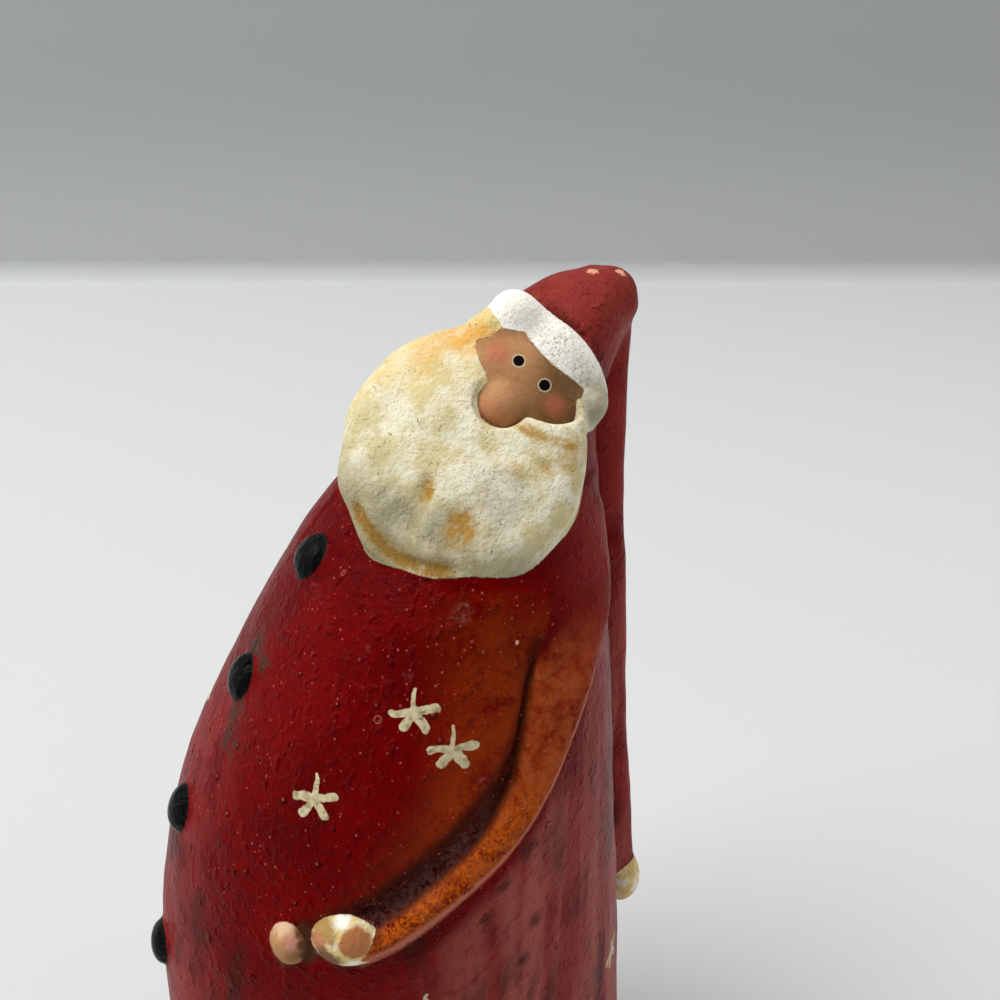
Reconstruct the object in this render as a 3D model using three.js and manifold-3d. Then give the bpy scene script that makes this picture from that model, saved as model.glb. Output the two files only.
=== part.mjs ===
// A painted folk-art Santa figurine, cast in one piece.
// A comma-shaped robe swells to a belly in front and narrows backwards into a hood, whose long tail hangs down
// the back to a pompom. The face lies on the sloping front of the hood, turned to the left shoulder and looking
// up, with a fur brim above it and a big round beard below. Two sleeves run round the sides to hands that rest
// on the belly, above a plain skirt and a low hem.
// Units are millimetres. +Z is up, the coat buttons face -Y, and the figure's own left is +X.
// The origin is in the middle of the flat underside.
import * as THREE from "three";
import { LoftGeometry } from "three/addons/geometries/LoftGeometry.js";
import { mergeVertices } from "three/addons/utils/BufferGeometryUtils.js";
import Module from "manifold-3d";

const { degToRad, lerp, smoothstep } = THREE.MathUtils;

// The robe as slanting egg-shaped sections from hem to tip: half width, then the front and back ends as [y, z].
const ROBE_SECTIONS = [
  { half: 39.5, front: [-49, 0], back: [46, 0] },
  { half: 41, front: [-54.5, 24], back: [45.3, 20] },
  { half: 42, front: [-57.5, 55], back: [43, 46] },
  { half: 42, front: [-57, 88], back: [41.2, 72] },
  { half: 41.5, front: [-49.7, 119], back: [38.7, 98] },
  { half: 40, front: [-36, 144], back: [36.3, 121] },
  { half: 35.5, front: [-22, 165], back: [34.5, 143] },
  { half: 28.5, front: [-6.5, 181], back: [32.5, 162] },
  { half: 20.5, front: [6.5, 194], back: [31.5, 177] },
  { half: 15, front: [16.5, 204.5], back: [32, 188] },
  { half: 11, front: [26.5, 210.8], back: [35.3, 197] },
  { half: 5.5, front: [34, 212], back: [40.5, 204.5] },
];
// How much fuller each section is towards its front end than towards its back end.
const ROBE_EGG = 0.12;
const ROBE_ROWS = 36;
const ROBE_SIDES = 50;

// Soft upright folds in the skirt, strongest at the hem and gone at the belly.
const FOLD_COUNT = 9;
const FOLD_DEPTH = 0.7;
const FOLD_TOP = 80;

// The hem is a low turned-out band that the figure stands on.
const HEM_HEIGHT = 16;
const HEM_FLARE = 2;

// The hood's round tip, and the tail that hangs from it down the back, as [y, z] along the tail's middle.
const TIP = { centre: [0, 36.8, 206.9], radius: 5.1 };
const TAIL_LINE = [
  [36.8, 206],
  [36.5, 196],
  [36.4, 185],
  [37, 165],
  [39, 141],
  [40.4, 115],
  [43.4, 86],
  [45.5, 64],
];
const TAIL_HALF_WIDTH = 3.8;
const TAIL_HALF_DEPTH = 4.9;
const TAIL_ROWS = 20;
const POMPOM = { centre: [0, 46.4, 65], radii: [5.9, 4.9, 7] };

// The head's own upright axis leans back in the middle plane. The face and the beard turn about it to the left.
const HEAD_LEAN = degToRad(48.7);
const FACE_TURN = degToRad(56.7);
const BEARD_TURN = degToRad(40);

// The beard is a round cushion, flatter in front and deeper behind, with a wavy lower rim.
const BEARD = { centre: [13.1, 2, 185.6], radius: 21.8, front: 7.5, back: 19, waves: 10, wave: 0.02 };
const BEARD_FLATNESS = 0.8;
// It is a little longer one way than across it, and that way is turned from its lowest point to its left.
const BEARD_STRETCH = 0.03;
const BEARD_STRETCH_TURN = degToRad(45);
const BEARD_SIDES = 40;
const BEARD_ROWS = 16;

// The face fills an opening in the beard: a wide pocket for the eyes above a round one for the nose.
// The pockets and what stands out of the face are placed across, up and out from the face's centre.
const FACE_CENTRE = [11.1, 13.7, 195.1];
const FACE_RADII = [12, 10, 7];
const EYES_POCKET = { across: 0.3, up: 1.3, out: 0, radii: [11.2, 5.9, 16] };
const NOSE_POCKET = { across: 0, up: -4.4, out: 0, radii: [5, 4.8, 16] };
const NOSE = { across: 0, up: -4.4, out: 4.8, radii: [4.2, 4.2, 4.2] };
const CHEEK = { across: 5.6, up: -0.8, out: 1.6, radii: [4.2, 4.2, 4.2] };
// A lock at each end of the face joins the brim to the beard, and the brim is fuller at its end on the right.
const LOCKS = [
  { across: -10.5, up: 3.2, out: -0.2, radii: [3.4, 3.8, 4.8] },
  { across: 10.4, up: 5.8, out: -1, radii: [3.2, 4, 4.8] },
];
const TUFT = { across: -8.8, up: 8.6, out: 0.8, radii: [4.6, 3.9, 4.9] };

// The fur brim is an oval ring about an axis that leans back further than the head's. It goes as far back as the
// tail, where it is cut off square, and the hat narrows above it.
const BRIM = { centre: [2.1, 21.1, 193.7], across: 10.8, out: 13.2, halfThick: 2.7, halfWide: 6.2, behind: 6 };
const BRIM_EXTRA_LEAN = degToRad(10);
const HAT_HALF_WIDTH = 11.4;
const HAT_TAPER = 1.25;
const HAT_ROWS = 7;

// The middle line of the left sleeve from shoulder to wrist; the right one is its mirror image.
const SLEEVE_LINE = [
  [17.5, 15.5, 173],
  [25.9, 15.8, 162.2],
  [32.3, 11.1, 153.4],
  [35.3, 7.5, 144.9],
  [37.6, 3, 135.2],
  [39.1, -3.9, 126.7],
  [39.2, -12.6, 120],
  [38.1, -20.6, 114.2],
  [36.5, -26.6, 111.2],
];
const SHOULDER_HALF_WIDTH = 11.5;
const WRIST_HALF_WIDTH = 2.4;
const SLEEVE_TAPER = 2.5;
const SLEEVE_RELIEF = 4;
// Below 1 the sleeve's sections are squarer than ovals, and the tilt turns them forwards and up.
const SLEEVE_SQUARENESS = 0.75;
const SLEEVE_TILT = 8;
const SLEEVE_ROWS = 16;

// The left cuff and hand lie along the belly, each turned about the vertical to follow it.
const CUFF = { centre: [35.7, -28.7, 113.3], radii: [5.9, 4.4, 5.2], yaw: degToRad(62) };
const HAND = { centre: [30.7, -36.8, 111.2], radii: [3.5, 4, 4.3], yaw: degToRad(50) };

// Domed buttons down the middle of the front, by their heights.
const BUTTON_HEIGHTS = [165.5, 144, 119, 88.5, 56];
const BUTTON_RADIUS = 4.3;
const BUTTON_RISE = 2.5;

const wasm = await Module();
wasm.setup();

function solidFrom(geometry) {
  const bare = new THREE.BufferGeometry();
  bare.setAttribute("position", geometry.getAttribute("position"));
  bare.setIndex(geometry.getIndex());
  const merged = mergeVertices(bare, 1e-4);
  const corners = [];
  for (let i = 0; i < merged.index.count; i += 3) {
    const [a, b, c] = [0, 1, 2].map((corner) => merged.index.getX(i + corner));
    if (a !== b && b !== c && c !== a) corners.push(a, b, c);
  }
  const vertProperties = merged.attributes.position.array;
  return new wasm.Manifold(new wasm.Mesh({ numProp: 3, vertProperties, triVerts: new Uint32Array(corners) }));
}

function geometryFrom(solid) {
  const mesh = solid.getMesh();
  const geometry = new THREE.BufferGeometry();
  geometry.setAttribute("position", new THREE.BufferAttribute(mesh.vertProperties, 3));
  geometry.setIndex(new THREE.BufferAttribute(mesh.triVerts, 1));
  geometry.computeVertexNormals();
  return geometry;
}

function placedAt(centre, turning = new THREE.Matrix4()) {
  return new THREE.Matrix4().makeTranslation(...centre).multiply(turning);
}

// The axes of a thing on the head that is turned to the left by an angle: across, up and out.
function headFrame(turn, extraLean = 0) {
  const forward = new THREE.Vector3(0, -Math.cos(HEAD_LEAN), Math.sin(HEAD_LEAN));
  const out = new THREE.Vector3(Math.sin(turn), 0, 0).addScaledVector(forward, Math.cos(turn));
  const up = new THREE.Vector3(0, Math.sin(HEAD_LEAN), Math.cos(HEAD_LEAN));
  const across = new THREE.Vector3().crossVectors(up, out);
  up.applyAxisAngle(across, -extraLean);
  out.applyAxisAngle(across, -extraLean);
  return new THREE.Matrix4().makeBasis(across, up, out);
}

function ellipsoid(radii, placing, sides = 14, rows = 8) {
  const geometry = new THREE.SphereGeometry(1, sides, rows);
  geometry.scale(...radii);
  geometry.applyMatrix4(placing);
  return solidFrom(geometry);
}

function loft(sections) {
  return solidFrom(new LoftGeometry(sections, { capStart: true, capEnd: true }));
}

function rounded(wave, squareness) {
  return Math.sign(wave) * Math.abs(wave) ** squareness;
}

// Oval sections along a line. halvesAt(t) gives half width and half depth, and outAt(point) the way of the depth.
function ovalSections(line, rows, sides, halvesAt, outAt, squareness = 1) {
  const sections = [];
  for (let row = 0; row <= rows; row++) {
    const t = row / rows;
    const centre = line.getPoint(t);
    const along = line.getTangent(t);
    const width = new THREE.Vector3().crossVectors(along, outAt(centre)).normalize();
    const depth = new THREE.Vector3().crossVectors(width, along);
    const [halfWidth, halfDepth] = halvesAt(t);
    const section = [];
    for (let i = 0; i < sides; i++) {
      const angle = (2 * Math.PI * i) / sides;
      const beside = halfWidth * rounded(Math.cos(angle), squareness);
      const above = halfDepth * rounded(Math.sin(angle), squareness);
      section.push(centre.clone().addScaledVector(width, -beside).addScaledVector(depth, above));
    }
    sections.push(section);
  }
  return sections;
}

// The curve through the front or the back end of every robe section, with the half width carried as x.
function robeLine(end) {
  const points = ROBE_SECTIONS.map((section) => new THREE.Vector3(section.half, ...section[end]));
  return new THREE.CatmullRomCurve3(points, false, "catmullrom", 0.5);
}

function robe() {
  const frontLine = robeLine("front");
  const backLine = robeLine("back");
  const sections = [];
  for (let row = 0; row <= ROBE_ROWS; row++) {
    const front = frontLine.getPoint(row / ROBE_ROWS);
    const back = backLine.getPoint(row / ROBE_ROWS);
    const section = [];
    for (let i = 0; i < ROBE_SIDES; i++) {
      const angle = (-2 * Math.PI * i) / ROBE_SIDES;
      const z = lerp(back.z, front.z, (1 - Math.cos(angle)) / 2);
      const fold = FOLD_DEPTH * Math.cos(FOLD_COUNT * angle) * (1 - smoothstep(z, 0, FOLD_TOP));
      const flare = HEM_FLARE * (1 - smoothstep(z, HEM_HEIGHT / 2, HEM_HEIGHT));
      const swell = 1 + (fold + flare) / front.x;
      const x = front.x * swell * Math.sin(angle) * (1 - ROBE_EGG * Math.cos(angle));
      const y = (front.y + back.y) / 2 + ((back.y - front.y) / 2) * swell * Math.cos(angle);
      section.push(new THREE.Vector3(x, y, z));
    }
    sections.push(section);
  }
  return loft(sections);
}

function tail() {
  const line = new THREE.CatmullRomCurve3(TAIL_LINE.map(([y, z]) => new THREE.Vector3(0, y, z)));
  const halves = () => [TAIL_HALF_WIDTH, TAIL_HALF_DEPTH];
  return loft(ovalSections(line, TAIL_ROWS, 12, halves, () => new THREE.Vector3(0, 1, 0)));
}

function hat() {
  const line = new THREE.LineCurve3(new THREE.Vector3(...BRIM.centre), new THREE.Vector3(...TIP.centre));
  const halves = (t) => Array(2).fill(lerp(HAT_HALF_WIDTH, TIP.radius, t ** HAT_TAPER));
  return loft(ovalSections(line, HAT_ROWS, 28, halves, () => new THREE.Vector3(1, 0, 0)));
}

function brim() {
  const ring = new THREE.TorusGeometry(BRIM.across, BRIM.halfThick, 12, 36);
  ring.scale(1, BRIM.out / BRIM.across, BRIM.halfWide / BRIM.halfThick);
  ring.rotateX(-Math.PI / 2);
  const placing = placedAt(BRIM.centre, headFrame(FACE_TURN, BRIM_EXTRA_LEAN));
  return solidFrom(ring).trimByPlane([0, 0, 1], -BRIM.behind).transform(placing.elements);
}

function beard() {
  const geometry = new THREE.SphereGeometry(1, BEARD_SIDES, BEARD_ROWS);
  const position = geometry.attributes.position;
  const point = new THREE.Vector3();
  for (let i = 0; i < position.count; i++) {
    point.fromBufferAttribute(position, i);
    const around = Math.atan2(point.x, -point.y);
    const low = (1 + Math.cos(around)) / 2;
    const wave = BEARD.wave * low * Math.hypot(point.x, point.y) * Math.cos(BEARD.waves * around);
    const stretch = BEARD_STRETCH * Math.cos(2 * (around - BEARD_STRETCH_TURN));
    const reach = BEARD.radius * (1 + wave + stretch);
    const depth = point.z > 0 ? BEARD.front * point.z ** BEARD_FLATNESS : BEARD.back * point.z;
    position.setXYZ(i, point.x * reach, point.y * reach, depth);
  }
  geometry.applyMatrix4(placedAt(BEARD.centre, headFrame(BEARD_TURN)));
  return solidFrom(geometry).subtract(onFace(EYES_POCKET, 1, 24, 12)).subtract(onFace(NOSE_POCKET, 1, 20, 12));
}

function onFace(shape, side, sides, rows) {
  const step = new THREE.Matrix4().makeTranslation(side * shape.across, shape.up, shape.out);
  const placing = placedAt(FACE_CENTRE, headFrame(FACE_TURN)).multiply(step);
  return ellipsoid(shape.radii, placing, sides, rows);
}

function face() {
  const bare = ellipsoid(FACE_RADII, placedAt(FACE_CENTRE, headFrame(FACE_TURN)), 24, 12);
  const solids = [bare, ...[NOSE, ...LOCKS, TUFT].map((shape) => onFace(shape, 1))];
  for (const side of [-1, 1]) solids.push(onFace(CHEEK, side));
  return solids.reduce((whole, solid) => whole.add(solid));
}

function sleeve(side) {
  const line = new THREE.CatmullRomCurve3(SLEEVE_LINE.map((point) => new THREE.Vector3(...point)));
  const halves = (t) => [lerp(WRIST_HALF_WIDTH, SHOULDER_HALF_WIDTH, (1 - t) ** SLEEVE_TAPER), SLEEVE_RELIEF];
  const outAt = (point) => new THREE.Vector3(point.x, point.y - SLEEVE_TILT, SLEEVE_TILT);
  const sections = ovalSections(line, SLEEVE_ROWS, 12, halves, outAt, SLEEVE_SQUARENESS);
  if (side < 0) {
    for (const section of sections) {
      for (const point of section) point.x = -point.x;
      section.reverse();
    }
  }
  return loft(sections);
}

function onBelly(shape, side) {
  const [x, y, z] = shape.centre;
  const turning = new THREE.Matrix4().makeRotationZ(side * shape.yaw);
  return ellipsoid(shape.radii, placedAt([side * x, y, z], turning));
}

// Where the front line of the robe reaches a height, and the matrix that sets a thing upright on it there.
function onFront(height) {
  const line = robeLine("front");
  let low = 0;
  let high = 1;
  while (high - low > 1e-5) {
    const middle = (low + high) / 2;
    if (line.getPoint(middle).z < height) low = middle;
    else high = middle;
  }
  const point = line.getPoint(low);
  const along = line.getTangent(low);
  const facing = new THREE.Vector3(0, -along.z, along.y).normalize();
  const turning = new THREE.Quaternion().setFromUnitVectors(new THREE.Vector3(0, 0, 1), facing);
  return placedAt([0, point.y, point.z], new THREE.Matrix4().makeRotationFromQuaternion(turning));
}

function button(height) {
  return ellipsoid([BUTTON_RADIUS, BUTTON_RADIUS, BUTTON_RISE], onFront(height));
}

const tip = ellipsoid([TIP.radius, TIP.radius, TIP.radius], placedAt(TIP.centre), 20, 12);
const additions = [tip, hat(), tail(), brim(), beard(), face()];
additions.push(ellipsoid(POMPOM.radii, placedAt(POMPOM.centre)));
for (const side of [-1, 1]) additions.push(sleeve(side), onBelly(CUFF, side), onBelly(HAND, side));
for (const height of BUTTON_HEIGHTS) additions.push(button(height));
const joined = additions.reduce((solid, addition) => solid.add(addition), robe());
// Crumbs and sealed bubbles, which creases can leave behind, are dropped.
const whole = joined.decompose().reduce((a, b) => (b.volume() > a.volume() ? b : a));

const paint = new THREE.MeshStandardMaterial({ color: 0x7a1512, roughness: 0.5, metalness: 0 });
const figurine = new THREE.Mesh(geometryFrom(whole), paint);
figurine.name = "santa_figurine";

const part = new THREE.Group();
part.add(figurine);
export default part;
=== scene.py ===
"""The painted look of the cast Santa figurine.

The figurine is one casting, so it is one piece here too: the forms of the solid are made again from the same
sizes, melted together in a distance field, and given the dents, lumps and chips that the solid leaves out.
The paint follows how deep each point lies in each form, so its borders run along the creases.
"""

import math
from dataclasses import dataclass

import bpy
import numpy as np
import openvdb
from mathutils import Matrix, Vector, noise


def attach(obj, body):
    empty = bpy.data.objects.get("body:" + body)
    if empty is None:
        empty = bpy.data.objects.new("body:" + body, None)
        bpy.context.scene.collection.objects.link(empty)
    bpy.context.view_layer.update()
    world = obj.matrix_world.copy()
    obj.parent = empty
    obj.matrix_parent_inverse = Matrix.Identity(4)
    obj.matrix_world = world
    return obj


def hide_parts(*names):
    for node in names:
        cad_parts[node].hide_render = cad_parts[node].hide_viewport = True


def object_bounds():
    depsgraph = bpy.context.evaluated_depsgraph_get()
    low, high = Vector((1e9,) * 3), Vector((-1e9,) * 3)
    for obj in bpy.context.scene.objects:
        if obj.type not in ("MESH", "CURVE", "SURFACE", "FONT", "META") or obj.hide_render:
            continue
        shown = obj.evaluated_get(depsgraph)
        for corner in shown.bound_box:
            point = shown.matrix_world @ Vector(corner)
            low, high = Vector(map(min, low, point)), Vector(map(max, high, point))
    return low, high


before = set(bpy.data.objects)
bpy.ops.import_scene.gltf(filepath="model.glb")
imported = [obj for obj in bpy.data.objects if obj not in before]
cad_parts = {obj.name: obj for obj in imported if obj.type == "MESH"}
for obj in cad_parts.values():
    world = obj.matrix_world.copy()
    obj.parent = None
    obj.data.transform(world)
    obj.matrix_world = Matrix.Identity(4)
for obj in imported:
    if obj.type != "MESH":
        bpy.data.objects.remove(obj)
cad_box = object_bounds()

# Lengths below are in millimetres, and this turns them into the scene's metres.
MM = 0.001

# Camera: where it looks, from how far, how far round from the front and how far down.
CAMERA_AIM = (0, 15, 169.8)
CAMERA_DISTANCE = 190
CAMERA_TURN = math.radians(66)
CAMERA_PITCH = math.radians(24)
CAMERA_SENSOR = 36
CAMERA_LENS = 36.1

# Robe sections as in the solid: half width, then the front and back ends as (y, z).
ROBE_SECTIONS = [
    (39.5, (-49, 0), (46, 0)),
    (41, (-54.5, 24), (45.3, 20)),
    (42, (-57.5, 55), (43, 46)),
    (42, (-57, 88), (41.2, 72)),
    (41.5, (-49.7, 119), (38.7, 98)),
    (40, (-36, 144), (36.3, 121)),
    (35.5, (-22, 165), (34.5, 143)),
    (28.5, (-6.5, 181), (32.5, 162)),
    (20.5, (6.5, 194), (31.5, 177)),
    (15, (16.5, 204.5), (32, 188)),
    (11, (26.5, 210.8), (35.3, 197)),
    (5.5, (34, 212), (40.5, 204.5)),
]
ROBE_EGG = 0.12
FOLD_COUNT = 9
FOLD_DEPTH = 0.7
FOLD_TOP = 80
HEM_HEIGHT = 16
HEM_FLARE = 2

# Hood, tail and pompom, as in the solid.
TIP_CENTRE = (0, 36.8, 206.9)
TIP_RADIUS = 5.1
TAIL_LINE = [
    (36.8, 206), (36.5, 196), (36.4, 185), (37, 165), (39, 141), (40.4, 115), (43.4, 86), (45.5, 64),
]
TAIL_HALF_WIDTH = 3.8
TAIL_HALF_DEPTH = 4.9
POMPOM_CENTRE = (0, 46.4, 65)
POMPOM_RADII = (5.9, 4.9, 7)

# Head, as in the solid.
HEAD_LEAN = math.radians(48.7)
FACE_TURN = math.radians(56.7)
BEARD_TURN = math.radians(40)
BEARD_CENTRE = (13.1, 2, 185.6)
BEARD_RADIUS = 21.8
BEARD_FRONT = 7.5
BEARD_BACK = 19
BEARD_FLATNESS = 0.8
BEARD_WAVES = 10
BEARD_WAVE = 0.02
BEARD_STRETCH = 0.03
BEARD_STRETCH_TURN = math.radians(45)
FACE_CENTRE = (11.1, 13.7, 195.1)
FACE_RADII = (12, 10, 7)
EYES_POCKET = (0.3, 1.3, 0), (11.2, 5.9, 16)
NOSE_POCKET = (0, -4.4, 0), (5, 4.8, 16)
NOSE = (0, -4.4, 4.8), (4.2, 4.2, 4.2)
CHEEK = (5.6, -0.8, 1.6), (4.2, 4.2, 4.2)
LOCKS = [
    ((-10.5, 3.2, -0.2), (3.4, 3.8, 4.8)),
    ((10.4, 5.8, -1), (3.2, 4, 4.8)),
]
TUFT = (-8.8, 8.6, 0.8), (4.6, 3.9, 4.9)
BRIM_CENTRE = (2.1, 21.1, 193.7)
BRIM_ACROSS = 10.8
BRIM_OUT = 13.2
BRIM_HALF_THICK = 2.7
BRIM_HALF_WIDE = 6.2
BRIM_BEHIND = 6
BRIM_EXTRA_LEAN = math.radians(10)
HAT_HALF_WIDTH = 11.4
HAT_TAPER = 1.25

# Left sleeve, cuff and hand, as in the solid. The right ones are their mirror images.
SLEEVE_LINE = [
    (17.5, 15.5, 173), (25.9, 15.8, 162.2), (32.3, 11.1, 153.4), (35.3, 7.5, 144.9), (37.6, 3, 135.2),
    (39.1, -3.9, 126.7), (39.2, -12.6, 120), (38.1, -20.6, 114.2), (36.5, -26.6, 111.2),
]
SHOULDER_HALF_WIDTH = 11.5
WRIST_HALF_WIDTH = 2.4
SLEEVE_TAPER = 2.5
SLEEVE_RELIEF = 4
SLEEVE_SQUARENESS = 0.75
SLEEVE_TILT = 8
GROOVE_START = 21
GROOVE_OVERLAP = 0.8
GROOVE_LIFT = 2.2
GROOVE_DEPTH = 0.8
GROOVE_NARROW = 0.9
GROOVE_SPREAD = 1.8
CUFF_CENTRE = (35.7, -28.7, 113.3)
CUFF_RADII = (5.9, 4.4, 5.2)
CUFF_YAW = math.radians(62)
HAND_CENTRE = (30.7, -36.8, 111.2)
HAND_RADII = (3.5, 4, 4.3)
HAND_YAW = math.radians(50)

# Buttons down the front, as in the solid.
BUTTON_HEIGHTS = (165.5, 144, 119, 88.5, 56)
BUTTON_RADIUS = 4.3
BUTTON_RISE = 2.5

# The distance field: its step, how far from a surface it is kept, the skin's triangle budget, how softly the
# pockets of the face are cut, and how far a vertex in a sharp crease lies below its neighbours.
STEP = 0.5
BAND = 3.5
SKIN_TRIANGLES = 185_000
POCKET_SOFTNESS = 1.2
SHARP_CREASE = 0.12


def catmull_rom(points, count):
    """That many points, at even steps from point to point, on the smooth curve through the given ones."""
    points = np.asarray(points, float)
    padded = np.vstack([2 * points[0] - points[1], points, 2 * points[-1] - points[-2]])
    places = np.linspace(0, len(points) - 1, count)
    spans = np.minimum(places.astype(int), len(points) - 2)
    t = (places - spans)[:, None]
    a, b, c, d = (padded[spans + k] for k in range(4))
    return 0.5 * (2 * b + (c - a) * t + (2 * a - 5 * b + 4 * c - d) * t**2 + (3 * b - a - 3 * c + d) * t**3)


def smoothstep(value, low, high):
    t = np.clip((value - low) / (high - low), 0, 1)
    return t * t * (3 - 2 * t)


def unit(vectors):
    return vectors / np.linalg.norm(vectors, axis=-1, keepdims=True)


def head_axes(turn, extra_lean=0.0):
    """Rows: across, up and out of a thing on the leaning head that is turned to the left."""
    forward = Vector((0, -math.cos(HEAD_LEAN), math.sin(HEAD_LEAN)))
    out = Vector((math.sin(turn), 0, 0)) + forward * math.cos(turn)
    up = Vector((0, math.sin(HEAD_LEAN), math.cos(HEAD_LEAN)))
    across = up.cross(out)
    leaning = Matrix.Rotation(-extra_lean, 3, across)
    return np.array([across, leaning @ up, leaning @ out])


def about_vertical(angle):
    """Rows: the x, y and z axes turned about the vertical."""
    return np.array(Matrix.Rotation(angle, 3, "Z").transposed())


FACE_AXES = head_axes(FACE_TURN)
BEARD_AXES = head_axes(BEARD_TURN)
BRIM_AXES = head_axes(FACE_TURN, BRIM_EXTRA_LEAN)
UPRIGHT = np.eye(3)


def seen_from(points, centre, axes):
    """Points in a thing's own coordinates."""
    return (points - np.asarray(centre, float)) @ axes.T


def placed(points, centre, axes):
    """Points of a thing's own coordinates in the figure's."""
    return points @ axes + np.asarray(centre, float)


# Surfaces of the forms


def loft(sections):
    """The closed surface through sections of as many points each: its points, quads and end triangles."""
    rows, sides, _ = sections.shape
    side = np.arange(sides)
    beside = (side + 1) % sides
    first = (np.arange(rows - 1) * sides)[:, None]
    quads = np.stack([first + side, first + beside, first + beside + sides, first + side + sides], -1)
    points = np.vstack([sections.reshape(-1, 3), sections[0].mean(0), sections[-1].mean(0)])
    last = (rows - 1) * sides
    start_fan = np.stack([side, beside, np.full(sides, rows * sides)], -1)
    end_fan = np.stack([last + side, last + beside, np.full(sides, rows * sides + 1)], -1)
    return points, quads.reshape(-1, 4), np.vstack([start_fan, end_fan])


def oval_sections(line, half_width, half_depth, out, squareness=1.0, sides=40):
    """Oval sections along a line of points, with their depth towards out. Below 1 they are squarer."""
    along = unit(np.gradient(line, axis=0))
    width = unit(np.cross(along, out))
    depth = np.cross(width, along)
    angle = np.linspace(0, 2 * math.pi, sides, endpoint=False)[:, None]
    wide = np.sign(np.cos(angle)) * np.abs(np.cos(angle)) ** squareness
    deep = np.sign(np.sin(angle)) * np.abs(np.sin(angle)) ** squareness
    ring = deep * (half_depth * depth)[:, None] - wide * (half_width * width)[:, None]
    return line[:, None] + ring


def robe_surface(rows=200, sides=240):
    front = catmull_rom([(half, *ends) for half, ends, _ in ROBE_SECTIONS], rows)[:, None]
    back = catmull_rom([(half, *ends) for half, _, ends in ROBE_SECTIONS], rows)[:, None]
    half = front[..., 0]
    angle = np.linspace(0, -2 * math.pi, sides, endpoint=False)[None]
    z = back[..., 2] + (front[..., 2] - back[..., 2]) * (1 - np.cos(angle)) / 2
    fold = FOLD_DEPTH * np.cos(FOLD_COUNT * angle) * (1 - smoothstep(z, 0, FOLD_TOP))
    flare = HEM_FLARE * (1 - smoothstep(z, HEM_HEIGHT / 2, HEM_HEIGHT))
    swell = 1 + (fold + flare) / half
    x = half * swell * np.sin(angle) * (1 - ROBE_EGG * np.cos(angle))
    y = (front[..., 1] + back[..., 1]) / 2 + (back[..., 1] - front[..., 1]) / 2 * swell * np.cos(angle)
    return loft(np.stack([x, y, z], -1))


def tail_surface():
    line = catmull_rom([(0, y, z) for y, z in TAIL_LINE], 120)
    return loft(oval_sections(line, TAIL_HALF_WIDTH, TAIL_HALF_DEPTH, np.array([0, 1, 0])))


def hat_surface():
    t = np.linspace(0, 1, 40)[:, None]
    line = np.array(BRIM_CENTRE) * (1 - t) + np.array(TIP_CENTRE) * t
    half = HAT_HALF_WIDTH + (TIP_RADIUS - HAT_HALF_WIDTH) * t**HAT_TAPER
    return loft(oval_sections(line, half, half, np.array([1, 0, 0])))


def sleeve_course():
    """Along the left sleeve: its middle line, its half widths, and the ways of its depth and to the belly."""
    line = catmull_rom(SLEEVE_LINE, 90)
    t = np.linspace(0, 1, 90)[:, None]
    half_width = WRIST_HALF_WIDTH + (SHOULDER_HALF_WIDTH - WRIST_HALF_WIDTH) * (1 - t) ** SLEEVE_TAPER
    out = line * (1, 1, 0) + (0, -SLEEVE_TILT, SLEEVE_TILT)
    return line, half_width, out, unit(np.cross(unit(np.gradient(line, axis=0)), out))


def sleeve_surface(side):
    line, half_width, out, _ = sleeve_course()
    sections = oval_sections(line, half_width, SLEEVE_RELIEF, out, SLEEVE_SQUARENESS)
    return loft(sections * (side, 1, 1))


def groove_surface(side):
    """The rope that is cut out of the crease between the sleeve and the belly, thin at both ends."""
    line, half_width, out, inwards = sleeve_course()
    t = np.linspace(0, 1, len(line) - GROOVE_START)[:, None]
    spread = GROOVE_SPREAD * smoothstep(t, 0.2, 0.6)
    radius = (GROOVE_NARROW + spread) * np.minimum(1, 0.35 + 6 * t * (1 - t))
    course = (line + inwards * half_width + unit(out) * GROOVE_LIFT)[GROOVE_START:]
    course += inwards[GROOVE_START:] * (radius - GROOVE_OVERLAP)
    return loft(oval_sections(course, radius, GROOVE_DEPTH, out[GROOVE_START:], sides=20) * (side, 1, 1))


def brim_surface(sides=96, around=32):
    """The ring's section is an oval that is carried round an oval."""
    turn = np.linspace(0, 2 * math.pi, sides, endpoint=False)[:, None]
    angle = np.linspace(0, 2 * math.pi, around, endpoint=False)[None]
    reach = 1 + BRIM_HALF_THICK / BRIM_ACROSS * np.cos(angle)
    up = np.broadcast_to(BRIM_HALF_WIDE * np.sin(angle), (sides, around))
    ring = np.stack([BRIM_ACROSS * np.cos(turn) * reach, up, BRIM_OUT * np.sin(turn) * reach], -1)
    points = placed(ring.reshape(-1, 3), BRIM_CENTRE, BRIM_AXES)
    here = np.arange(sides)[:, None] * around
    beyond = (np.arange(sides)[:, None] + 1) % sides * around
    i = np.arange(around)[None]
    j = (i + 1) % around
    quads = np.stack([here + i, here + j, beyond + j, beyond + i], -1).reshape(-1, 4)
    return points, quads, np.zeros((0, 3), int)


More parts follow.
